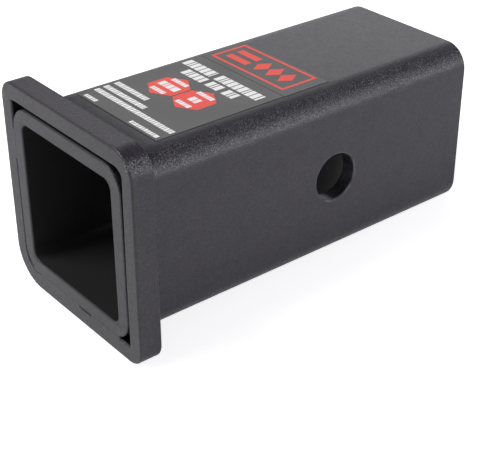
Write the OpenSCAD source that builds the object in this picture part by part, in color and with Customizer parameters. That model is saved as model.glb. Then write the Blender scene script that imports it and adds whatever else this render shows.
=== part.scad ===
// Hitch reducer sleeve.
// A thick square steel tube slides into a receiver and narrows its mouth to
// the next smaller shank. A collar of bent square-edged bar is welded round
// the mouth and stops the sleeve at the receiver's lip, and one pin passes
// through both side walls, the shank and the receiver.
//
// Frame: the origin is the pin hole's centre, on the tube's own axis.
// +X runs along the pin, +Y runs from the collar to the tail, +Z is up, on
// the side that carries the label. All sizes are in millimetres.

/* [Tube] */
// Width of the square tube over its flats
tube_w = 63.5; // [58:0.5:70]
// Wall of the tube
tube_wall = 5.55; // [4:0.05:6.5]
// Outside radius of the tube's four rolled corners
tube_corner_r = 9; // [8.5:0.25:12]
// Length of the tube, from the face of its mouth to its tail
tube_l = 152.4; // [130:0.2:250]
// Rounding of the sawn edges at both ends of the tube
tube_edge_r = 0.5; // [0.2:0.1:1]

/* [Pin hole] */
// Diameter of the hole through both side walls
pin_hole_d = 17.46; // [13:0.02:20]
// Distance from the face of the mouth to the pin hole's centre
pin_setback = 88.9; // [60:0.1:100]
// Countersink that breaks the hole's outer edge
pin_edge_break = 0.4; // [0.2:0.1:1]

/* [Collar] */
// Thickness of the collar's bar, out from the tube
bar_t = 6.2; // [5:0.1:10]
// Width of the collar's bar, along the tube
bar_w = 8.5; // [6:0.1:16]
// Rounding of the bar's long edges
bar_edge_r = 0.7; // [0.3:0.1:1.4]
// Play between the tube's top and the collar's upper leg
top_play = 1; // [0.2:0.1:1.5]
// Play between the tube and the right leg's inner face at its head
head_play = 1.5; // [0.5:0.1:2]
// Play between the tube and the right leg's inner face at its foot
foot_play = 0.35; // [0.1:0.05:0.4]
// Inside radius of the bend at the upper left
bend_upper_left = 0.5; // [0.2:0.1:3]
// Inside radius of the bend at the upper right
bend_upper_right = 3; // [0.2:0.1:6]
// Inside radius of the bend at the lower right
bend_lower_right = 0.5; // [0.2:0.1:3]
// Inside radius of the bend at the lower left, which hugs the tube
bend_lower_left = 7.5; // [4:0.1:8]

/* [Welds] */
// Leg of the fillet welds behind the collar
weld_leg = 4.5; // [3:0.1:5]
// Length of each weld bead, on the flats of the tube
weld_l = 36; // [20:1:40]
// Distance from one ripple of a bead to the next
weld_pitch = 3; // [2:0.5:5]
// How far the ripples' centres lie inside the steel, which flattens the bead
weld_depth = 2.5; // [1:0.1:4]

/* [Label] */
// Width of the main label, across the tube
label_w = 45; // [30:0.5:46]
// Length of the main label, along the tube
label_l = 52; // [30:0.5:60]
// Distance from the face of the mouth to the main label's near edge
label_setback = 20.6; // [18:0.1:30]
// How far the header label reaches past the main label at either side
header_over = 0.3; // [0:0.1:2]
// Length of the header label, along the tube
header_l = 19.6; // [10:0.1:30]
// Hairline between the two labels
label_joint = 0.3; // [0.1:0.1:1]
// How far the labels sit off the tube's centre line, to the left
label_shift = 0.6; // [0:0.1:1]
// Thickness of a label
label_t = 0.2; // [0.1:0.05:0.4]

/* [Hidden] */
$fn = 96;

coat_black = [0.2, 0.2, 0.215];
weld_black = [0.17, 0.17, 0.18];
label_grey = [0.32, 0.32, 0.33];

// Faces of the tube and the collar along the tube's length
mouth_y = -pin_setback;
collar_back_y = mouth_y + bar_w;
half_w = tube_w / 2;
bore_w = tube_w - 2 * tube_wall;
header_w = label_w + 2 * header_over;

// Inside corners of a loop, clockwise from the upper left, seen from the mouth
function box_corners(left, right, bottom, top) =
    [[left, top], [right, top], [right, bottom], [left, bottom]];

tube_inside = box_corners(-bore_w / 2, bore_w / 2, -bore_w / 2, bore_w / 2);
collar_inside = [
    [-half_w, half_w + top_play],
    [half_w + foot_play, half_w + top_play],
    [half_w + foot_play, -half_w],
    [-half_w, -half_w]
];
collar_bends = [bend_upper_left, bend_upper_right, bend_lower_right, bend_lower_left];

function unit(v) = v / norm(v);
function outward(v) = [-v[1], v[0]];
function heading(v) = atan2(v[1], v[0]);

// Direction of the side that leaves corner i, and the outward normal of it
function side_dir(c, i) = unit(c[(i + 1) % 4] - c[i % 4]);
function side_out(c, i) = outward(side_dir(c, i));

// Centre of the bend at corner i: inside both sides by the bend's radius
function bend_centre(c, r, i) =
    let (a = side_out(c, i + 3), b = side_out(c, i))
    c[i % 4] - r[i % 4] * (a + b) / (1 + a * b);

// Section of a bar: x is out from its inner face, y is along its width
module bar_section(t, w, edge_r) {
    translate([edge_r, 0]) square([t - 2 * edge_r, w]);
    translate([0, edge_r]) square([t, w - 2 * edge_r]);
    for (x = [edge_r, t - edge_r], y = [edge_r, w - edge_r])
        translate([x, y]) circle(edge_r);
}

// One straight leg, from the end of bend i to the start of the next bend
module leg(c, r, i, t, w, edge_r) {
    d = side_dir(c, i);
    from = (bend_centre(c, r, i) - c[i]) * d;
    to = (bend_centre(c, r, i + 1) - c[i]) * d;
    translate([c[i][0] + from * d[0], c[i][1] + from * d[1], 0])
        rotate([90, 0, heading(d) + 90])
            linear_extrude(to - from)
                bar_section(t, w, edge_r);
}

// One bend: the bar's section turned about the bend's centre
module bend(c, r, i, t, w, edge_r) {
    centre = bend_centre(c, r, i);
    start = heading(side_out(c, i));
    sweep = (heading(side_out(c, i + 3)) - start + 360) % 360;
    translate([centre[0], centre[1], 0])
        rotate([0, 0, start])
            rotate_extrude(angle = sweep)
                translate([r[i], 0])
                    bar_section(t, w, edge_r);
}

// A bar bent once round four corners and closed on itself
module bent_loop(c, r, t, w, edge_r) {
    for (i = [0:3]) {
        leg(c, r, i, t, w, edge_r);
        bend(c, r, i, t, w, edge_r);
    }
}

// Stands a loop up: its plane faces the mouth, its width runs along the tube
module stand_up(front_y, w) {
    translate([0, front_y + w, 0])
        rotate([90, 0, 0])
            children();
}

module sleeve_tube() {
    bore_corner_r = tube_corner_r - tube_wall;
    color(coat_black)
        difference() {
            stand_up(mouth_y, tube_l)
                bent_loop(tube_inside, [for (i = [0:3]) bore_corner_r],
                    tube_wall, tube_l, tube_edge_r);
            pin_hole();
        }
}

// The drilled hole, with its outer edges broken
module pin_hole() {
    rotate([0, 90, 0]) {
        cylinder(h = tube_w + 2, d = pin_hole_d, center = true);
        for (s = [0, 1])
            mirror([0, 0, s])
                translate([0, 0, half_w - pin_edge_break])
                    cylinder(h = 2 * pin_edge_break, d1 = pin_hole_d,
                        d2 = pin_hole_d + 4 * pin_edge_break);
    }
}

// The right leg's inner face leans away from the tube, from foot to head
module stop_collar() {
    color(coat_black)
        difference() {
            stand_up(mouth_y, bar_w)
                bent_loop(collar_inside, collar_bends, bar_t, bar_w, bar_edge_r);
            stand_up(mouth_y - 1, bar_w + 2)
                linear_extrude(bar_w + 2)
                    leaning_face();
        }
}

// What the lean takes off the right leg, with the upper right bend moved out
module leaning_face() {
    foot_x = half_w + foot_play;
    head_x = half_w + head_play;
    top_z = half_w + top_play;
    r = bend_upper_right;
    polygon([
        [foot_x, -half_w + bend_lower_right],
        [foot_x - r, -half_w + bend_lower_right],
        [foot_x - r, top_z],
        [head_x - r, top_z],
        [head_x - r, top_z - r],
        [head_x, top_z - r]
    ]);
    translate([head_x - r, top_z - r]) circle(r);
}

// A bead in the corner behind the collar: a row of ripples on the top flat
module weld_bead() {
    ripple_r = norm([weld_leg + weld_depth, weld_depth]);
    reach = weld_l / 2 - weld_leg;
    ripples = 2 * floor(reach / weld_pitch) + 1;
    color(weld_black)
        translate([0, collar_back_y, half_w])
            intersection() {
                union()
                    for (i = [0:ripples - 1])
                        translate([(i - (ripples - 1) / 2) * weld_pitch, -weld_depth, -weld_depth])
                            sphere(ripple_r);
                translate([-weld_l, 0, 0])
                    cube([2 * weld_l, ripple_r, ripple_r]);
            }
}

module weld_top() weld_bead();
module weld_right() rotate([0, 90, 0]) weld_bead();
module weld_bottom() rotate([0, 180, 0]) weld_bead();
module weld_left() rotate([0, 270, 0]) weld_bead();

module label(w, l, setback) {
    color(label_grey)
        translate([-w / 2 - label_shift, mouth_y + setback, half_w])
            cube([w, l, label_t]);
}

module label_main() label(label_w, label_l, label_setback);
module label_header() label(header_w, header_l, label_setback + label_l + label_joint);

sleeve_tube();
stop_collar();
weld_top();
weld_right();
weld_bottom();
weld_left();
label_main();
label_header();
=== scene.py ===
from math import atan2, pi, radians, sin

import bpy
from bpy.props import FloatProperty, FloatVectorProperty, PointerProperty
from mathutils import Matrix, Vector


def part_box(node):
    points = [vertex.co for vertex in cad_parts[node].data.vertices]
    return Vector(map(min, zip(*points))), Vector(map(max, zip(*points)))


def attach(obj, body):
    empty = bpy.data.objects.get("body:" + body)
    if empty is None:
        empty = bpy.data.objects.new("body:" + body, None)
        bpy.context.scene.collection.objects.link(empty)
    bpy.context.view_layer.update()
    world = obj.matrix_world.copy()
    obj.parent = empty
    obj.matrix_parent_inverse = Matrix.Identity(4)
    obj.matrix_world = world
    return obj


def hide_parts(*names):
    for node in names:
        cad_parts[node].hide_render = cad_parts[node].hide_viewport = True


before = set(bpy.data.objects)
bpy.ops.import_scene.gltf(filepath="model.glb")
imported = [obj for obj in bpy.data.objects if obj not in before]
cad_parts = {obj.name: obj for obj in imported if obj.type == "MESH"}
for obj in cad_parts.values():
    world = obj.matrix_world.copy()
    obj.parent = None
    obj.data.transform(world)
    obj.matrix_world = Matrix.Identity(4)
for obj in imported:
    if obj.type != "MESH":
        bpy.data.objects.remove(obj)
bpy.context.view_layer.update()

bl_info = {
    "name": "Hitch Reducer Sleeve",
    "version": (1, 0, 0),
    "blender": (4, 5, 0),
    "location": "View3D > Sidebar > Sleeve",
    "description": "Dresses a hitch reducer sleeve: gritty coat, weld beads, printed labels, stage",
    "category": "Object",
}

MM = 0.001


def node_box(name):
    """Lowest and highest corner of a solid of the frame, in millimetres."""
    lo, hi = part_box(name)
    return [v / MM for v in lo], [v / MM for v in hi]


TUBE_LO, TUBE_HI = node_box("sleeve_tube")
COLLAR_LO, COLLAR_HI = node_box("stop_collar")
MOUTH_Y = TUBE_LO[1]
TAIL_Y = TUBE_HI[1]
HALF_W = TUBE_HI[0]
COLLAR_BACK_Y = COLLAR_HI[1]
LABEL_TOP = node_box("label_main")[1][2]

# Two sizes of the part's source that no box gives, in millimetres
TUBE_WALL = 5.55
PIN_HOLE_R = 8.73
BORE_HALF = HALF_W - TUBE_WALL

# The camera fitted to the photograph: width and focal length in pixels, place in
# millimetres, and its right, down and forward directions
PHOTO_W = 488
FOCAL_PX = 1208.95
SENSOR_W = 36.0
CAMERA_AT = (300.055, -258.812, 199.951)
CAMERA_RIGHT = (0.630607, 0.776101, -0.001506)
CAMERA_DOWN = (0.393797, -0.321643, -0.861087)
CAMERA_AHEAD = (-0.668775, 0.542414, -0.508456)


def length(name, description, default_mm, **more):
    return FloatProperty(name=name, description=description, default=default_mm * MM,
                         unit="LENGTH", precision=5, **more)


def colour(name, description, default):
    return FloatVectorProperty(name=name, description=description, default=default,
                               subtype="COLOR", size=3, min=0.0, max=1.0)


def number(name, description, default, low=0.0, high=10.0):
    return FloatProperty(name=name, description=description, default=default,
                         min=low, max=high)


class CoatSettings(bpy.types.PropertyGroup):
    base: colour("Coat", "Colour of the coat on the flats", (0.0270, 0.0250, 0.0320))
    # Painted shade: the bore's colour is darker than the coat outside.
    bore: colour("Bore", "Colour of the thin, dull coat inside the tube", (0.0180, 0.0180, 0.0195))
    fleck: colour("Fleck", "Colour of the light flecks in the coat", (0.075, 0.075, 0.080))
    bead: colour("Bead coat", "Colour of the coat over the weld beads", (0.034, 0.034, 0.037))
    grain: length("Grain", "Size of the grains of the coat", 0.45)
    depth: length("Grain depth", "Height of the grains", 0.15)
    flecks: number("Flecks", "Share of light flecks on the flats", 0.18, 0.0, 1.0)
    # On rolled corners the light flecks are partly the coat's own, partly painted sparkle.
    corner_flecks_and_sparkle: number("Corner flecks", "Share of light flecks on rolled corners", 0.95, 0.0, 1.0)


class WeldSettings(bpy.types.PropertyGroup):
    leg: length("Leg", "Leg of the fillet bead", 3.95)
    bead_l: length("Length", "Length of one bead", 35.0)
    pitch: length("Ripple pitch", "Distance between two ripples", 1.7)
    voxel: length("Voxel", "Size of the voxels that melt the ripples together", 0.28)


class SeamSettings(bpy.types.PropertyGroup):
    width: length("Width", "Width of the coat that closes the seam", 2.8)
    proud: length("Height", "How far the closing coat stands out of the seam", 0.06)
    slit_from: length("Slit start", "Where the open slit at the bottom starts", 2.3)
    slit_to: length("Slit end", "Where the open slit at the bottom ends", 9.4)


class LabelSettings(bpy.types.PropertyGroup):
    film: colour("Film", "Colour of the label film", (0.135, 0.134, 0.132))
    red: colour("Red", "Colour of the red print", (0.93, 0.115, 0.095))
    white: colour("White", "Colour of the white print", (0.97, 0.97, 0.965))
    ink_t: length("Ink", "Thickness of the print", 0.03)
    hex_r: length("Hexagon", "Corner radius of the hexagons", 8.1)
    gap: length("Gap", "Gap between two blocks of a printed line", 0.5)


class StageSettings(bpy.types.PropertyGroup):
    floor: colour("Floor", "Colour of the floor", (0.86, 0.86, 0.86))
    glow: number("Floor lift", "Light that the camera alone sees on the floor", 0.70)
    horizon: number("Horizon", "Light level of the room near the horizon", 0.53)
    ceiling: number("Ceiling", "Light level of the room overhead", 0.06)
    tint: colour("Room tint", "Colour of the room's light", (0.955, 0.925, 1.0))
    key: number("Key", "Power of the soft lamp before the mouth", 1.7, 0.0, 200.0)
    top: number("Top", "Power of the soft lamp over the mouth", 4.1, 0.0, 200.0)
    sheen: number("Sheen", "Power of the soft panel that the top mirrors", 0.71, 0.0, 200.0)
    edge: number("Edge", "Power of the soft panel that the rolled corner mirrors", 4.1, 0.0, 200.0)


class SleeveSettings(bpy.types.PropertyGroup):
    coat: PointerProperty(type=CoatSettings)
    weld: PointerProperty(type=WeldSettings)
    seam: PointerProperty(type=SeamSettings)
    label: PointerProperty(type=LabelSettings)
    stage: PointerProperty(type=StageSettings)


def put(tree, kind, **inputs):
    """Adds a node; keywords that name a property set it, the others are sockets."""
    node = tree.nodes.new(kind)
    for key, value in inputs.items():
        if hasattr(node, key):
            setattr(node, key, value)
        else:
            node.inputs[key.replace("_", " ")].default_value = value
    return node


def join(tree, source, target):
    tree.links.new(source, target)


def maths(tree, operation, a, b=0.0, c=0.0, clamp=False):
    node = tree.nodes.new("ShaderNodeMath")
    node.operation = operation
    node.use_clamp = clamp
    for i, v in enumerate((a, b, c)):
        if isinstance(v, (int, float)):
            node.inputs[i].default_value = v
        else:
            join(tree, v, node.inputs[i])
    return node.outputs[0]


def spread(tree, value, low, high, to_low=0.0, to_high=1.0):
    """Maps low..high of a value smoothly to to_low..to_high."""
    node = tree.nodes.new("ShaderNodeMapRange")
    node.interpolation_type = "SMOOTHSTEP"
    join(tree, value, node.inputs["Value"])
    for name, v in (("From Min", low), ("From Max", high), ("To Min", to_low), ("To Max", to_high)):
        if isinstance(v, (int, float)):
            node.inputs[name].default_value = v
        else:
            join(tree, v, node.inputs[name])
    return node.outputs["Result"]


def blend(tree, share, a, b, mode="MIX"):
    """Mixes two colours, each a socket or plain numbers."""
    node = tree.nodes.new("ShaderNodeMix")
    node.data_type = "RGBA"
    node.blend_type = mode
    for socket, v in ((node.inputs[0], share), (node.inputs[6], a), (node.inputs[7], b)):
        if isinstance(v, (int, float)):
            socket.default_value = v
        elif isinstance(v, bpy.types.NodeSocket):
            join(tree, v, socket)
        else:
            socket.default_value = (*v[:3], 1.0)
    return node.outputs[2]


def noise(tree, at, scale, detail=2.0, rough=0.5):
    node = put(tree, "ShaderNodeTexNoise", Scale=scale, Detail=detail, Roughness=rough)
    join(tree, at, node.inputs["Vector"])
    return node.outputs[0]


def new_group(name, inputs, outputs):
    """An empty shader node group with the named sockets."""
    tree = bpy.data.node_groups.new(name, "ShaderNodeTree")
    for socket, kind, default in inputs:
        made = tree.interface.new_socket(socket, in_out="INPUT", socket_type=kind)
        if default is not None:
            made.default_value = default
    for socket, kind in outputs:
        tree.interface.new_socket(socket, in_out="OUTPUT", socket_type=kind)
    return tree, tree.nodes.new("NodeGroupInput"), tree.nodes.new("NodeGroupOutput")


FLOAT, COLOR, VECTOR = "NodeSocketFloat", "NodeSocketColor", "NodeSocketVector"

# Colours that the materials mix in: scuffs, painted shade, near-black painted shade in the gaps, a
# painted highlight on the pin hole's rim, and what shows through pinholes in the ink
SCUFF = (0.5, 0.5, 0.52)
PAINTED_SHADE = (0.008, 0.008, 0.009)
PAINTED_GAP_SHADE = (0.004, 0.004, 0.0045)
PAINTED_RIM_HIGHLIGHT = (0.17, 0.17, 0.175)
UNDER_INK = (0.16, 0.16, 0.165)

# Share of handling marks on the coat and on the label film
COAT_MARKS = 0.010
FILM_MARKS = 0.04

# Sizes that the materials' masks use, in millimetres: the coat's change from a flat to a rolled
# corner, and the open seam at the mouth, which is painted as shade
CORNER_FADE = 3.5
SLIT_HALF_H = 0.9
HAIRLINE_TOP = 10
HAIRLINE_WIDE = -22
HAIRLINE_END = -25
HAIRLINE_THIN_HALF = 0.10
HAIRLINE_WIDE_HALF = 0.36
MOUTH_SKIN = 1.2


def gritty_coat_group():
    """Grains, flecks and faint clouds of a fine-textured powder coat."""
    name = "Gritty coat"
    if name in bpy.data.node_groups:
        return bpy.data.node_groups[name]
    tree, inp, out = new_group(name, [
        ("Vector", VECTOR, None), ("Coat", COLOR, (0.1, 0.1, 0.1, 1)),
        ("Fleck", COLOR, (0.3, 0.3, 0.3, 1)), ("Grain", FLOAT, 0.5), ("Flecks", FLOAT, 0.2),
    ], [("Color", COLOR), ("Roughness", FLOAT), ("Height", FLOAT)])
    size = tree.nodes.new("ShaderNodeVectorMath")
    size.operation = "SCALE"
    join(tree, inp.outputs["Vector"], size.inputs[0])
    join(tree, maths(tree, "DIVIDE", 1.0 / MM, inp.outputs["Grain"]), size.inputs["Scale"])
    at = size.outputs[0]
    grains = noise(tree, at, 1.0, 3.0, 0.6)
    cells = put(tree, "ShaderNodeTexVoronoi", Scale=0.8)
    join(tree, at, cells.inputs["Vector"])
    spots = spread(tree, cells.outputs["Distance"], 0.55, 0.15)
    pick = noise(tree, at, 0.62, 1.0)
    share = inp.outputs["Flecks"]
    least = maths(tree, "SUBTRACT", 0.78, maths(tree, "MULTIPLY", share, 0.50))
    chosen = spread(tree, pick, least, maths(tree, "ADD", least, 0.12))
    flecks = maths(tree, "MULTIPLY", spots, chosen, clamp=True)
    clouds = noise(tree, at, 0.045, 3.0)
    blotches = noise(tree, at, 0.22, 2.0, 0.6)
    dust = noise(tree, at, 0.75, 2.0, 0.7)
    tone = spread(tree, clouds, 0.25, 0.75, 0.93, 1.07)
    tone = maths(tree, "MULTIPLY", tone, spread(tree, dust, 0.25, 0.75, 0.50, 1.50))
    tone = maths(tree, "MULTIPLY", tone, spread(tree, blotches, 0.28, 0.72, 0.84, 1.16))
    tinted = tree.nodes.new("ShaderNodeVectorMath")
    tinted.operation = "SCALE"
    join(tree, inp.outputs["Coat"], tinted.inputs[0])
    join(tree, tone, tinted.inputs["Scale"])
    join(tree, blend(tree, flecks, tinted.outputs[0], inp.outputs["Fleck"]), out.inputs["Color"])
    rough = spread(tree, grains, 0.3, 0.7, 0.40, 0.28)
    rolled = maths(tree, "MULTIPLY", share, share)
    uneven = maths(tree, "ADD", maths(tree, "MULTIPLY", rolled, 0.06), 0.012)
    patchy = maths(tree, "MULTIPLY", spread(tree, blotches, 0.28, 0.72, 1.0, -1.0), uneven)
    rough = maths(tree, "ADD", rough, patchy)
    raised = maths(tree, "MULTIPLY", flecks, rolled)
    rough = maths(tree, "SUBTRACT", rough, maths(tree, "MULTIPLY", raised, 0.08))
    join(tree, rough, out.inputs["Roughness"])
    height = maths(tree, "ADD", grains, maths(tree, "MULTIPLY", raised, 0.7))
    relief = maths(tree, "ADD", maths(tree, "MULTIPLY", share, 1.3), 0.45)
    join(tree, maths(tree, "MULTIPLY", height, relief), out.inputs["Height"])
    return tree


def shop_dirt_group():
    """Faint streaks and spots, as handling leaves on a coat or a film."""
    name = "Handling marks"
    if name in bpy.data.node_groups:
        return bpy.data.node_groups[name]
    tree, inp, out = new_group(name, [
        ("Vector", VECTOR, None), ("Color", COLOR, (0.1, 0.1, 0.1, 1)), ("Amount", FLOAT, 0.2),
    ], [("Color", COLOR)])
    stretch = put(tree, "ShaderNodeMapping")
    stretch.inputs["Scale"].default_value = (330.0, 180.0, 330.0)
    join(tree, inp.outputs["Vector"], stretch.inputs["Vector"])
    streaks = noise(tree, stretch.outputs[0], 1.0, 4.0, 0.65)
    patch = noise(tree, inp.outputs["Vector"], 38.0, 2.0)
    mask = maths(tree, "MULTIPLY", spread(tree, streaks, 0.5, 0.75), spread(tree, patch, 0.4, 0.65))
    mask = maths(tree, "MULTIPLY", mask, inp.outputs["Amount"], clamp=True)
    join(tree, blend(tree, mask, inp.outputs["Color"], SCUFF), out.inputs["Color"])
    return tree


def place(tree):
    """x, y and z of a point of the piece, in metres, and the point itself."""
    point = tree.nodes.new("ShaderNodeTexCoord").outputs["Object"]
    parts = tree.nodes.new("ShaderNodeSeparateXYZ")
    join(tree, point, parts.inputs[0])
    return point, parts.outputs[0], parts.outputs[1], parts.outputs[2]


def fresh_material(name, rough=0.5, specular=0.5):
    mat = bpy.data.materials.new(name)
    mat.use_nodes = True
    tree = mat.node_tree
    shader = tree.nodes["Principled BSDF"]
    shader.inputs["Roughness"].default_value = rough
    shader.inputs["Specular IOR Level"].default_value = specular
    return mat, tree, shader


def bump(tree, shader, height, depth, strength=1.0):
    node = tree.nodes.new("ShaderNodeBump")
    node.inputs["Strength"].default_value = strength
    node.inputs["Distance"].default_value = depth
    join(tree, height, node.inputs["Height"])
    join(tree, node.outputs[0], shader.inputs["Normal"])


def painted_seam_shade(tree, x, y, z):
    """Painted shade where the coat has left the seam open at the mouth: a dark slit and a dark
    hairline on the closed steel.
    """
    low = -HALF_W * MM
    seam = bpy.context.scene.sleeve.seam
    half = (seam.slit_to - seam.slit_from) / 2
    u = maths(tree, "DIVIDE", maths(tree, "SUBTRACT", x, seam.slit_from + half), half)
    v = maths(tree, "DIVIDE", maths(tree, "SUBTRACT", z, low), SLIT_HALF_H * MM)
    lens = maths(tree, "ADD", maths(tree, "MULTIPLY", u, u), maths(tree, "MULTIPLY", v, v))
    slit = spread(tree, lens, 1.05, 0.8)
    wide = spread(tree, z, HAIRLINE_TOP * MM, HAIRLINE_WIDE * MM,
                  HAIRLINE_THIN_HALF * MM, HAIRLINE_WIDE_HALF * MM)
    off = maths(tree, "ABSOLUTE", maths(tree, "SUBTRACT", x, low))
    line = maths(tree, "LESS_THAN", off, wide)
    below = maths(tree, "LESS_THAN", z, HAIRLINE_TOP * MM)
    above = maths(tree, "GREATER_THAN", z, HAIRLINE_END * MM)
    line = maths(tree, "MULTIPLY", line, maths(tree, "MULTIPLY", below, above))
    front = maths(tree, "LESS_THAN", y, (MOUTH_Y + MOUTH_SKIN) * MM)
    return maths(tree, "MULTIPLY", maths(tree, "MAXIMUM", slit, line), front)


def coat_material(name, coat, base, bore_half=None, corner_from=None, corner_low=True,
                  gap=None, dull_and_shade=None, fleck_sparkle_gain=1.0, hole_r=None):
    """Powder coat; the bore and the gap are duller and darker as painted shade, and so are the
    masked places; the pin hole's rim gets a painted highlight, and rolled corners hold more flecks,
    partly as painted sparkle.
    """
    mat, tree, shader = fresh_material(name)
    point, x, y, z = place(tree)
    ax, az = maths(tree, "ABSOLUTE", x), maths(tree, "ABSOLUTE", z)
    paint = tree.nodes.new("ShaderNodeGroup")
    paint.node_tree = gritty_coat_group()
    join(tree, point, paint.inputs["Vector"])
    paint.inputs["Coat"].default_value = (*base, 1)
    paint.inputs["Fleck"].default_value = (*[c * fleck_sparkle_gain for c in coat.fleck], 1)
    paint.inputs["Grain"].default_value = coat.grain / MM
    paint.inputs["Flecks"].default_value = coat.flecks
    if corner_from is not None:
        # More light flecks on the rolled corners: partly the coat's flecks, partly painted sparkle.
        near = maths(tree, "MINIMUM", ax, az if corner_low else maths(tree, "ADD", z, 2 * MM))
        corner = spread(tree, near, corner_from * MM, (corner_from + CORNER_FADE) * MM,
                        coat.flecks, coat.corner_flecks_and_sparkle)
        join(tree, corner, paint.inputs["Flecks"])
    tone, rough = paint.outputs["Color"], paint.outputs["Roughness"]
    if dull_and_shade is not None:
        # Painted shade: the masked coat is darkened towards near black and made rougher.
        mask = dull_and_shade(tree, x, y, z)
        tone = blend(tree, maths(tree, "MULTIPLY", mask, 0.45), tone, PAINTED_SHADE)
        rough = maths(tree, "ADD", rough, maths(tree, "MULTIPLY", mask, 0.22))
    if hole_r is not None:
        # Painted highlight: a lighter, broken ring on the pin hole's rounded rim.
        off = maths(tree, "SQRT", maths(tree, "ADD", maths(tree, "MULTIPLY", y, y),
                                        maths(tree, "MULTIPLY", z, z)))
        off = maths(tree, "ABSOLUTE", maths(tree, "SUBTRACT", off, (hole_r + 0.35) * MM))
        rim = spread(tree, off, 0.45 * MM, 0.15 * MM)
        wear_and_glint = noise(tree, point, 420.0, 2.0)
        rim = maths(tree, "MULTIPLY", rim, spread(tree, wear_and_glint, 0.35, 0.7, 0.05, 0.6))
        tone = blend(tree, rim, tone, PAINTED_RIM_HIGHLIGHT)
    height = paint.outputs["Height"]
    if bore_half is not None:
        # Painted shade: the coat inside the bore takes the darker bore colour, and is rougher.
        far = maths(tree, "MAXIMUM", ax, az)
        inside = spread(tree, far, (bore_half + 1.0) * MM, (bore_half + 0.2) * MM)
        tone = blend(tree, inside, tone, coat.bore)
        rough = maths(tree, "ADD", rough, maths(tree, "MULTIPLY", inside, 0.08))
        height = maths(tree, "MULTIPLY", height, maths(tree, "SUBTRACT", 1.0, inside))
    if gap is not None:
        # Painted shade: the gaps under and inside the collar and the seam's slit and hairline are
        # darkened nearly to black.
        deep = spread(tree, y, (MOUTH_Y + 0.3) * MM, (MOUTH_Y + MOUTH_SKIN) * MM)
        shaded = maths(tree, "MULTIPLY", deep, gap(tree, ax, az, x, y, z))
        shaded = maths(tree, "MAXIMUM", shaded, painted_seam_shade(tree, x, y, z), clamp=True)
        tone = blend(tree, shaded, tone, PAINTED_GAP_SHADE)
    marks = tree.nodes.new("ShaderNodeGroup")
    marks.node_tree = shop_dirt_group()
    marks.inputs["Amount"].default_value = COAT_MARKS
    join(tree, point, marks.inputs["Vector"])
    join(tree, tone, marks.inputs["Color"])
    join(tree, marks.outputs["Color"], shader.inputs["Base Color"])
    join(tree, rough, shader.inputs["Roughness"])
    bump(tree, shader, height, coat.depth, min(0.6 * fleck_sparkle_gain, 1.0))
    return mat


def film_material(label):
    """Satin label film with a very fine weave of its own and faint scuffs."""
    mat, tree, shader = fresh_material("label film", 0.5, 0.2)
    point = place(tree)[0]
    fine = noise(tree, point, 2600.0, 2.0)
    waves = noise(tree, point, 60.0, 2.0)
    tone = maths(tree, "MULTIPLY", spread(tree, fine, 0.3, 0.7, 0.95, 1.05),
                 spread(tree, waves, 0.3, 0.7, 0.97, 1.03))
    tinted = tree.nodes.new("ShaderNodeVectorMath")
    tinted.operation = "SCALE"
    tinted.inputs[0].default_value = label.film
    join(tree, tone, tinted.inputs["Scale"])
    marks = tree.nodes.new("ShaderNodeGroup")
    marks.node_tree = shop_dirt_group()
    marks.inputs["Amount"].default_value = FILM_MARKS
    join(tree, point, marks.inputs["Vector"])
    join(tree, tinted.outputs[0], marks.inputs["Color"])
    join(tree, marks.outputs["Color"], shader.inputs["Base Color"])
    join(tree, spread(tree, waves, 0.3, 0.7, 0.44, 0.56), shader.inputs["Roughness"])
    bump(tree, shader, fine, 0.01 * MM, 0.4)
    return mat


def ink_material(name, ink):
    """Screen-printed ink: nearly even, with a fine screen and worn pinholes."""
    mat, tree, shader = fresh_material(name, 0.55, 0.3)
    point = place(tree)[0]
    screen = noise(tree, point, 3400.0, 1.0)
    wear_and_glint = noise(tree, point, 900.0, 3.0, 0.7)
    tinted = tree.nodes.new("ShaderNodeVectorMath")
    tinted.operation = "SCALE"
    tinted.inputs[0].default_value = ink
    join(tree, spread(tree, screen, 0.3, 0.7, 0.96, 1.0), tinted.inputs["Scale"])
    holes = maths(tree, "MULTIPLY", spread(tree, wear_and_glint, 0.66, 0.74), 0.5)
    join(tree, blend(tree, holes, tinted.outputs[0], UNDER_INK),
         shader.inputs["Base Color"])
    join(tree, spread(tree, wear_and_glint, 0.3, 0.7, 0.5, 0.62), shader.inputs["Roughness"])
    bump(tree, shader, screen, 0.008 * MM, 0.3)
    return mat


def start_clean():
    if bpy.context.object and bpy.context.object.mode != "OBJECT":
        bpy.ops.object.mode_set(mode="OBJECT")
    bpy.ops.object.select_all(action="DESELECT")


def dress(obj, mat):
    if obj.material_slots:
        for s in obj.material_slots:
            s.material = mat
    else:
        obj.data.materials.append(mat)


def into_place(obj):
    """The finished piece's object goes to the origin, its place into its mesh."""
    start_clean()
    obj.select_set(True)
    bpy.context.view_layer.objects.active = obj
    bpy.ops.object.transform_apply(location=True, rotation=True, scale=True)


def finish_piece(obj, name, mat):
    into_place(obj)
    obj.name = name
    obj.data.name = name
    dress(obj, mat)
    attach(obj, "root")
    return obj


def outward_normals():
    bpy.ops.mesh.select_all(action="SELECT")
    bpy.ops.mesh.normals_make_consistent(inside=False)


def apply_modifiers(obj):
    bpy.context.view_layer.objects.active = obj
    for m in list(obj.modifiers):
        bpy.ops.object.modifier_apply(modifier=m.name)


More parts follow.
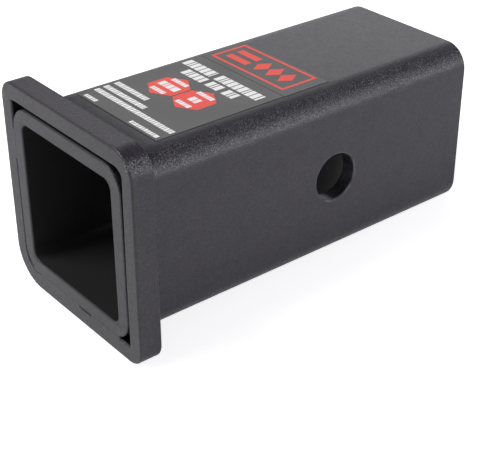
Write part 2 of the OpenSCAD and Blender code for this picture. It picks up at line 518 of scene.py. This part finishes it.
class SLEEVE_OT_coat_steel(bpy.types.Operator):
    """Gives the tube and the collar their gritty black coat"""
    bl_idname = "sleeve.coat_steel"
    bl_label = "Coat Tube and Collar"

    def execute(self, context):
        coat = context.scene.sleeve.coat
        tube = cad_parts["sleeve_tube"]
        dress(tube, coat_material("coat on the tube", coat, coat.base, bore_half=BORE_HALF,
                                  corner_from=HALF_W - 8.0, gap=self.under_collar,
                                  dull_and_shade=self.behind_collar, hole_r=PIN_HOLE_R))
        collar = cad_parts["stop_collar"]
        # The collar's flecks are lighter, partly as painted sparkle.
        dress(collar, coat_material("coat on the collar", coat, coat.base,
                                    corner_from=HALF_W + 1.5, corner_low=False,
                                    gap=self.inside_collar,
                                    dull_and_shade=self.rear_edge, fleck_sparkle_gain=3.0))
        return {"FINISHED"}

    def under_collar(self, tree, ax, az, x, y, z):
        """The tube's outside, in front of the collar's rear face, painted near black as shade in the
        gap.
        """
        outside = spread(tree, maths(tree, "MAXIMUM", ax, az), (HALF_W - 3.4) * MM,
                         (HALF_W - 3.0) * MM)
        return maths(tree, "MULTIPLY", outside,
                     maths(tree, "LESS_THAN", y, COLLAR_BACK_Y * MM))

    def behind_collar(self, tree, x, y, z):
        """The tube's top between the collar and the label, darkened as painted shade of the collar,
        and dulled.
        """
        above = maths(tree, "GREATER_THAN", z, (HALF_W - 0.5) * MM)
        fade = spread(tree, y, (COLLAR_BACK_Y + 14) * MM, (COLLAR_BACK_Y + 6) * MM)
        return maths(tree, "MULTIPLY", above, fade)

    def rear_edge(self, tree, x, y, z):
        """The rounded edge at the collar's rear, darkened as painted shade, and dulled."""
        above = maths(tree, "GREATER_THAN", z, (COLLAR_HI[2] - 3) * MM)
        return maths(tree, "MULTIPLY", above,
                     spread(tree, y, (COLLAR_BACK_Y - 1.0) * MM, (COLLAR_BACK_Y - 0.6) * MM))

    def inside_collar(self, tree, ax, az, x, y, z):
        """The collar's inner faces, which stand a little off the tube, painted near black as shade
        in the gap.
        """
        return spread(tree, maths(tree, "MAXIMUM", ax, az), (HALF_W + 2.6) * MM,
                      (HALF_W + 2.0) * MM)


# Each weld solid, and the turn about the tube's axis that takes the top bead to it
WELD_TURNS = (("weld_top", 0), ("weld_right", 90), ("weld_bottom", 180), ("weld_left", 270))

# One scale of a bead: its facets, its thickness and roundness as shares of the
# leg, its lean in degrees, and how many millimetres the bead bites into the steel
SCALE_SEGMENTS = 28
SCALE_RINGS = 14
SCALE_THICK = 0.5
SCALE_ROUND = 0.93
SCALE_LEAN = 24
BEAD_BITE = 0.35


class SLEEVE_OT_weld_beads(bpy.types.Operator):
    """Lays a rippled fillet bead behind each side of the collar"""
    bl_idname = "sleeve.weld_beads"
    bl_label = "Lay Weld Beads"

    def execute(self, context):
        weld, coat = context.scene.sleeve.weld, context.scene.sleeve.coat
        mat = coat_material("coat over weld", coat, coat.bead)
        first = self.top_bead(weld)
        beads = [first]
        for turn in WELD_TURNS[1:]:
            obj = first.copy()
            obj.data = first.data.copy()
            context.collection.objects.link(obj)
            obj.rotation_euler = (0, radians(turn[1]), 0)
            beads.append(obj)
        context.view_layer.update()
        for obj, (node, angle) in zip(beads, WELD_TURNS):
            finish_piece(obj, node.replace("weld", "bead"), mat)
            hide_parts(node)
        return {"FINISHED"}

    def top_bead(self, weld):
        """A row of leaning scales in the corner, melted together."""
        start_clean()
        corner_y, corner_z = COLLAR_BACK_Y * MM, HALF_W * MM
        count = int((weld.bead_l - 2 * weld.leg) / weld.pitch) + 1
        first_x = -(count - 1) / 2 * weld.pitch
        bpy.ops.mesh.primitive_uv_sphere_add(segments=SCALE_SEGMENTS, ring_count=SCALE_RINGS,
                                             radius=weld.leg,
                                             location=(first_x, corner_y, corner_z))
        obj = context_object("bead")
        bpy.ops.object.mode_set(mode="EDIT")
        for i in range(count):
            centre = (first_x + i * weld.pitch, corner_y, corner_z)
            if i:
                bpy.ops.mesh.select_all(action="DESELECT")
                bpy.ops.mesh.primitive_uv_sphere_add(segments=SCALE_SEGMENTS,
                                                     ring_count=SCALE_RINGS,
                                                     radius=weld.leg, location=centre)
            # A hand-laid bead varies a little from scale to scale
            grow = SCALE_ROUND * (1.0 + 0.05 * sin(i * 2.4) + 0.03 * sin(i * 5.1))
            lean = radians(SCALE_LEAN + 5 * sin(i * 1.7))
            bpy.ops.transform.resize(value=(SCALE_THICK, grow, grow), center_override=centre)
            bpy.ops.transform.rotate(value=lean, orient_axis="Z", center_override=centre)
        outward_normals()
        bpy.ops.object.mode_set(mode="OBJECT")
        melt = obj.modifiers.new("melt", "REMESH")
        melt.mode = "VOXEL"
        melt.voxel_size = weld.voxel
        apply_modifiers(obj)
        # Only the quarter outside the steel is kept, with a little bite
        bite = BEAD_BITE * MM
        bpy.ops.object.mode_set(mode="EDIT")
        for no, co in (((0, -1, 0), (0, corner_y - bite, 0)),
                       ((0, 0, -1), (0, 0, corner_z - bite))):
            bpy.ops.mesh.select_all(action="SELECT")
            bpy.ops.mesh.bisect(plane_co=co, plane_no=no, use_fill=True, clear_outer=True)
        outward_normals()
        bpy.ops.object.mode_set(mode="OBJECT")
        soft = obj.modifiers.new("soft", "SMOOTH")
        soft.factor = 0.5
        soft.iterations = 5
        apply_modifiers(obj)
        bpy.ops.object.shade_smooth()
        into_place(obj)
        return obj


def context_object(name):
    obj = bpy.context.object
    obj.name = name
    return obj


# Where the coat closes the seam, in millimetres: the lower seam's two ends and
# the left seam's low and high end, then the coat's half thickness and texture
SEAM_LEFT_END = -24.8
SEAM_RIGHT_END = 26.5
SEAM_SIDE_LOW = 11.0
SEAM_SIDE_HIGH = 22.5
SEAM_HALF_T = 0.5
SEAM_BEVEL = 0.3
SEAM_VOXEL = 0.22
SEAM_LUMP_SIZE = 1.6
SEAM_LUMP_H = 0.16


class SLEEVE_OT_close_seam(bpy.types.Operator):
    """Closes the seam at the mouth with coat, where it has run together"""
    bl_idname = "sleeve.close_seam"
    bl_label = "Close Seam"

    def execute(self, context):
        seam, coat = context.scene.sleeve.seam, context.scene.sleeve.coat
        start_clean()
        # Along the seam: from, to, in the plane of the mouth (x, z)
        low = -HALF_W * MM
        runs = [
            ((SEAM_LEFT_END * MM, low), (seam.slit_from, low)),
            ((seam.slit_to, low), (SEAM_RIGHT_END * MM, low)),
            ((low, SEAM_SIDE_LOW * MM), (low, SEAM_SIDE_HIGH * MM)),
        ]
        half_t = SEAM_HALF_T * MM
        centre_y = MOUTH_Y * MM - seam.proud + half_t
        for i, ((x0, z0), (x1, z1)) in enumerate(runs):
            across = abs(x1 - x0) > abs(z1 - z0)
            long = max(abs(x1 - x0), abs(z1 - z0))
            middle = ((x0 + x1) / 2, centre_y, (z0 + z1) / 2)
            turn = (0, pi / 2, 0) if across else (0, 0, 0)
            if i:
                bpy.ops.mesh.select_all(action="DESELECT")
            bpy.ops.mesh.primitive_cylinder_add(vertices=32, radius=half_t, depth=long,
                                                location=middle, rotation=turn)
            if not i:
                obj = context_object("seam coat")
                bpy.ops.object.mode_set(mode="EDIT")
            wide = seam.width / (2 * half_t)
            bpy.ops.transform.resize(value=(1, 1, wide) if across else (wide, 1, 1),
                                     center_override=middle)
        bpy.ops.mesh.select_all(action="SELECT")
        bpy.ops.mesh.bevel(offset=SEAM_BEVEL * MM, segments=3, affect="EDGES",
                           offset_type="OFFSET")
        outward_normals()
        bpy.ops.object.mode_set(mode="OBJECT")
        melt = obj.modifiers.new("melt", "REMESH")
        melt.mode = "VOXEL"
        melt.voxel_size = SEAM_VOXEL * MM
        lumps = bpy.data.textures.new("lumps", "CLOUDS")
        lumps.noise_scale = SEAM_LUMP_SIZE * MM
        lift = obj.modifiers.new("lumps", "DISPLACE")
        lift.texture = lumps
        lift.texture_coords = "LOCAL"
        lift.strength = SEAM_LUMP_H * MM
        lift.mid_level = 0.55
        apply_modifiers(obj)
        bpy.ops.object.shade_smooth()
        finish_piece(obj, "seam_coat", coat_material("coat in the seam", coat, coat.base))
        return {"FINISHED"}


class SLEEVE_OT_label_film(bpy.types.Operator):
    """Gives both label plates their satin film"""
    bl_idname = "sleeve.label_film"
    bl_label = "Lay Label Film"

    def execute(self, context):
        mat = film_material(context.scene.sleeve.label)
        for node in ("label_main", "label_header"):
            dress(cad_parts[node], mat)
        return {"FINISHED"}


# Printed lines: left and right end in x, near and far edge in distance from the
# mouth, and the widths of the blocks that fill them in turn, all in millimetres
HEADING_BLOCKS = (2.3, 0.9, 2.1, 2.3, 2.2)
SMALL_BLOCKS = (1.1, 0.8, 1.3, 0.9)
WHITE_LINES = [
    (-22.3, -6.6, 63.3, 67.8, HEADING_BLOCKS), (-4.2, 18.7, 63.3, 67.8, HEADING_BLOCKS),
    (-16.0, -4.6, 57.9, 62.0, HEADING_BLOCKS), (-2.4, 4.2, 57.9, 62.0, HEADING_BLOCKS),
    (6.6, 12.5, 57.9, 62.0, HEADING_BLOCKS),
    (-22.75, -4.6, 34.75, 37.1, SMALL_BLOCKS),
    (-22.75, 0.4, 30.4, 32.7, SMALL_BLOCKS),
    (-22.6, 20.9, 26.6, 28.9, SMALL_BLOCKS),
    (-21.1, -14.4, 21.5, 23.2, SMALL_BLOCKS), (5.4, 20.4, 21.5, 23.2, SMALL_BLOCKS),
    (-12.9, -4.7, 51.6, 53.6, SMALL_BLOCKS), (-13.6, -3.9, 46.4, 49.6, HEADING_BLOCKS),
    (-12.4, -5.1, 42.3, 44.3, SMALL_BLOCKS),
    (1.4, 9.6, 51.6, 53.6, SMALL_BLOCKS), (3.3, 7.8, 46.4, 49.6, HEADING_BLOCKS),
    (1.9, 9.1, 42.3, 44.3, SMALL_BLOCKS),
]
# A last block that would be narrower than LEAST_BLOCK joins the one before it, and
# only lines taller than TALL_LINE have the full gap between their blocks
LEAST_BLOCK = 0.5
TALL_LINE = 3
# Centres of the hexagons, and how much narrower than tall they are
HEXAGONS = [(-8.75, 47.9), (5.5, 47.9)]
HEXAGON_NARROW = 0.965
# Box of the emblem, its frame's line, its bars and its lozenges
EMBLEM = (-21.3, 17.9, 75.6, 91.4)
EMBLEM_LINE = 1.1
EMBLEM_BARS = ((84.6, 87.6), (79.4, 82.4))
EMBLEM_BAR_X = (3.6, 14.6)
LOZENGE_X, LOZENGE_Y = 19.6, 83.5
LOZENGE_PITCH = 6.4
LOZENGE_R = 4.4
LOZENGE_NARROW = 0.66


class SLEEVE_OT_label_print(bpy.types.Operator):
    """Prints plain blocks, bars and hexagons on the labels"""
    bl_idname = "sleeve.label_print"
    bl_label = "Print Labels"

    def execute(self, context):
        label = context.scene.sleeve.label
        white = ink_material("white ink", label.white)
        red = ink_material("red ink", label.red)
        top = LABEL_TOP * MM
        self.sheet_of(self.hexagons, label, top, "print_hexagons", red)
        self.sheet_of(self.emblem, label, top, "print_emblem", red)
        self.sheet_of(self.lines, label, top + label.ink_t, "print_lines", white)
        return {"FINISHED"}

    def sheet_of(self, draw, label, base_z, name, mat):
        """Draws flat faces at base_z in edit mode and gives them the ink's thickness."""
        start_clean()
        bpy.ops.mesh.primitive_plane_add(size=1, location=(0, 0, 0))
        obj = context_object(name)
        bpy.ops.object.mode_set(mode="EDIT")
        bpy.ops.mesh.delete(type="VERT")
        draw(label, base_z)
        bpy.ops.mesh.select_all(action="SELECT")
        bpy.ops.mesh.extrude_region_move(
            TRANSFORM_OT_translate={"value": (0, 0, label.ink_t)})
        outward_normals()
        bpy.ops.object.mode_set(mode="OBJECT")
        finish_piece(obj, name, mat)

    def block(self, x0, x1, y0, y1, z):
        """One flat rectangle, y from the mouth, sizes in millimetres."""
        centre = ((x0 + x1) / 2 * MM, (MOUTH_Y + (y0 + y1) / 2) * MM, z)
        bpy.ops.mesh.select_all(action="DESELECT")
        bpy.ops.mesh.primitive_plane_add(size=1, location=centre)
        bpy.ops.transform.resize(value=((x1 - x0) * MM, (y1 - y0) * MM, 1),
                                 center_override=centre)

    def lines(self, label, z):
        gap = label.gap / MM
        for x0, x1, y0, y1, widths in WHITE_LINES:
            space = gap if y1 - y0 > TALL_LINE else gap * 0.6
            x, i = x0, 0
            while x < x1 - 0.4:
                end = min(x + widths[i % len(widths)], x1)
                if x1 - end < space + LEAST_BLOCK:
                    end = x1
                self.block(x, end, y0, y1, z)
                x, i = end + space, i + 1

    def hexagons(self, label, z):
        for x, y in HEXAGONS:
            bpy.ops.mesh.select_all(action="DESELECT")
            centre = (x * MM, (MOUTH_Y + y) * MM, z)
            bpy.ops.mesh.primitive_circle_add(vertices=6, radius=label.hex_r, location=centre,
                                              fill_type="NGON")
            bpy.ops.transform.resize(value=(HEXAGON_NARROW, 1, 1), center_override=centre)

    def emblem(self, label, z):
        """A plain frame with two bars and three lozenges."""
        x0, x1, y0, y1 = EMBLEM
        line = EMBLEM_LINE
        # The uprights stop just short of the frame's other two sides
        inner_y0, inner_y1 = y0 + line + 0.01, y1 - line - 0.01
        self.block(x0, x1, y1 - line, y1, z)
        self.block(x0, x1, y0, y0 + line, z)
        self.block(x0, x0 + line, inner_y0, inner_y1, z)
        self.block(x1 - line, x1, inner_y0, inner_y1, z)
        for near, far in EMBLEM_BARS:
            self.block(x0 + EMBLEM_BAR_X[0], x0 + EMBLEM_BAR_X[1], near, far, z)
        for i in range(3):
            centre = ((x0 + LOZENGE_X + i * LOZENGE_PITCH) * MM, (MOUTH_Y + LOZENGE_Y) * MM, z)
            bpy.ops.mesh.select_all(action="DESELECT")
            bpy.ops.mesh.primitive_circle_add(vertices=4, radius=LOZENGE_R * MM,
                                              location=centre, fill_type="NGON")
            bpy.ops.transform.resize(value=(LOZENGE_NARROW, 1, 1), center_override=centre)


def rest_slope():
    """Slope of the floor: it touches the collar's rear edge and the tail's edge."""
    rise = TUBE_LO[2] - COLLAR_LO[2]
    run = (TAIL_Y - TAIL_TOUCH) - (COLLAR_BACK_Y - COLLAR_TOUCH)
    return atan2(rise, run)


def aim(obj, at, towards):
    obj.location = Vector(at) * MM
    ray = Vector(towards) * MM - obj.location
    obj.rotation_euler = ray.to_track_quat("-Z", "Y").to_euler()


def soft_lamp(name, at, towards, size, power, tint):
    data = bpy.data.lights.new(name, "AREA")
    data.shape = "RECTANGLE"
    data.size, data.size_y = size[0] * MM, size[1] * MM
    data.energy = power
    data.color = tint
    lamp = bpy.data.objects.new(name, data)
    bpy.context.collection.objects.link(lamp)
    aim(lamp, at, towards)


# Soft lamps: name, setting that holds the power, place, target, size and colour
LAMPS = (
    ("key lamp", "key", (-200, -800, 520), (0, -40, 0), (500, 350), (1.0, 0.99, 0.97)),
    ("top lamp", "top", (-270, -450, 730), (0, -20, 0), (400, 300), (1.0, 0.995, 0.98)),
    ("sheen panel", "sheen", (-600, 610, 345), (0, 0, 0), (640, 460), (1.0, 1.0, 1.0)),
    ("edge panel", "edge", (735, 415, 300), (0, 0, 0), (540, 300), (0.95, 0.955, 1.0)),
)

# The collar and the tail touch the floor a little inside their ends, on their
# rounded edges
COLLAR_TOUCH = 0.5
TAIL_TOUCH = 0.4
# Share of the floor's lift that a mirroring face sees
MIRRORED_LIFT = 0.25


class SLEEVE_OT_stage(bpy.types.Operator):
    """Sets the pale floor, the soft lamps, the room and the camera"""
    bl_idname = "sleeve.stage"
    bl_label = "Set Stage"

    def execute(self, context):
        stage = context.scene.sleeve.stage
        self.floor(stage)
        self.room(context, stage)
        for name, power, at, towards, size, tint in LAMPS:
            soft_lamp(name, at, towards, size, getattr(stage, power), tint)
        self.camera(context)
        context.scene.view_settings.view_transform = "Standard"
        return {"FINISHED"}

    def floor(self, stage):
        """The sleeve rests on its collar and its tail, so the floor slopes."""
        start_clean()
        touch = (0, (COLLAR_BACK_Y - COLLAR_TOUCH) * MM, COLLAR_LO[2] * MM)
        bpy.ops.mesh.primitive_grid_add(x_subdivisions=8, y_subdivisions=8, size=6,
                                        location=touch)
        floor = context_object("floor")
        floor.rotation_euler = (rest_slope(), 0, 0)
        into_place(floor)
        mat, tree, shader = fresh_material("pale floor", 0.9, 0.1)
        shader.inputs["Base Color"].default_value = (*stage.floor, 1)
        rays = tree.nodes.new("ShaderNodeLightPath")
        mirrored = maths(tree, "MULTIPLY", rays.outputs["Is Glossy Ray"], MIRRORED_LIFT)
        seen = maths(tree, "ADD", rays.outputs["Is Camera Ray"], mirrored)
        seen = maths(tree, "ADD", seen, rays.outputs["Is Transmission Ray"], clamp=True)
        glow = put(tree, "ShaderNodeEmission")
        glow.inputs["Color"].default_value = (1, 1, 1, 1)
        join(tree, maths(tree, "MULTIPLY", seen, stage.glow), glow.inputs["Strength"])
        both = tree.nodes.new("ShaderNodeAddShader")
        join(tree, shader.outputs[0], both.inputs[0])
        join(tree, glow.outputs[0], both.inputs[1])
        join(tree, both.outputs[0], tree.nodes["Material Output"].inputs["Surface"])
        dress(floor, mat)

    def room(self, context, stage):
        world = bpy.data.worlds.new("room")
        context.scene.world = world
        world.use_nodes = True
        tree = world.node_tree
        back = tree.nodes["Background"]
        rays = tree.nodes.new("ShaderNodeLightPath")
        seen = maths(tree, "ADD", rays.outputs["Is Camera Ray"],
                     rays.outputs["Is Transmission Ray"], clamp=True)
        parts = tree.nodes.new("ShaderNodeSeparateXYZ")
        join(tree, tree.nodes.new("ShaderNodeTexCoord").outputs["Generated"], parts.inputs[0])
        room = spread(tree, parts.outputs[2], 0.25, 0.8, stage.horizon, stage.ceiling)
        level = spread(tree, seen, 0.0, 1.0, room, 1.0)
        join(tree, level, back.inputs["Strength"])
        join(tree, blend(tree, seen, stage.tint, (1.0, 1.0, 1.0)), back.inputs["Color"])

    def camera(self, context):
        data = bpy.data.cameras.new("photo camera")
        data.sensor_width = SENSOR_W
        data.lens = FOCAL_PX / PHOTO_W * data.sensor_width
        data.clip_start = 0.01
        camera = bpy.data.objects.new("photo camera", data)
        context.collection.objects.link(camera)
        right, down, ahead = Vector(CAMERA_RIGHT), Vector(CAMERA_DOWN), Vector(CAMERA_AHEAD)
        turn = Matrix((right, -down, -ahead)).transposed()
        camera.matrix_world = Matrix.Translation(Vector(CAMERA_AT) * MM) @ turn.to_4x4()
        context.scene.camera = camera


class SLEEVE_PT_panel(bpy.types.Panel):
    """Lists the sleeve's settings and its making steps"""
    bl_idname = "SLEEVE_PT_panel"
    bl_label = "Reducer Sleeve"
    bl_space_type = "VIEW_3D"
    bl_region_type = "UI"
    bl_category = "Sleeve"

    def draw(self, context):
        settings = context.scene.sleeve
        for title, group, steps in (
            ("Coat", settings.coat, (SLEEVE_OT_coat_steel,)),
            ("Welds", settings.weld, (SLEEVE_OT_weld_beads,)),
            ("Seam", settings.seam, (SLEEVE_OT_close_seam,)),
            ("Labels", settings.label, (SLEEVE_OT_label_film, SLEEVE_OT_label_print)),
            ("Stage", settings.stage, (SLEEVE_OT_stage,)),
        ):
            box = self.layout.box()
            box.label(text=title)
            for key in group.__annotations__:
                box.prop(group, key)
            for step in steps:
                box.operator(step.bl_idname)


CLASSES = (
    CoatSettings, WeldSettings, SeamSettings, LabelSettings, StageSettings, SleeveSettings,
    SLEEVE_OT_coat_steel, SLEEVE_OT_weld_beads, SLEEVE_OT_close_seam, SLEEVE_OT_label_film,
    SLEEVE_OT_label_print, SLEEVE_OT_stage, SLEEVE_PT_panel,
)


def register():
    for c in CLASSES:
        bpy.utils.register_class(c)
    bpy.types.Scene.sleeve = PointerProperty(type=SleeveSettings)


def unregister():
    del bpy.types.Scene.sleeve
    for c in reversed(CLASSES):
        bpy.utils.unregister_class(c)


def main():
    register()
    bpy.ops.sleeve.coat_steel()
    bpy.ops.sleeve.weld_beads()
    bpy.ops.sleeve.close_seam()
    bpy.ops.sleeve.label_film()
    bpy.ops.sleeve.label_print()
    bpy.ops.sleeve.stage()


if __name__ == "__main__":
    main()
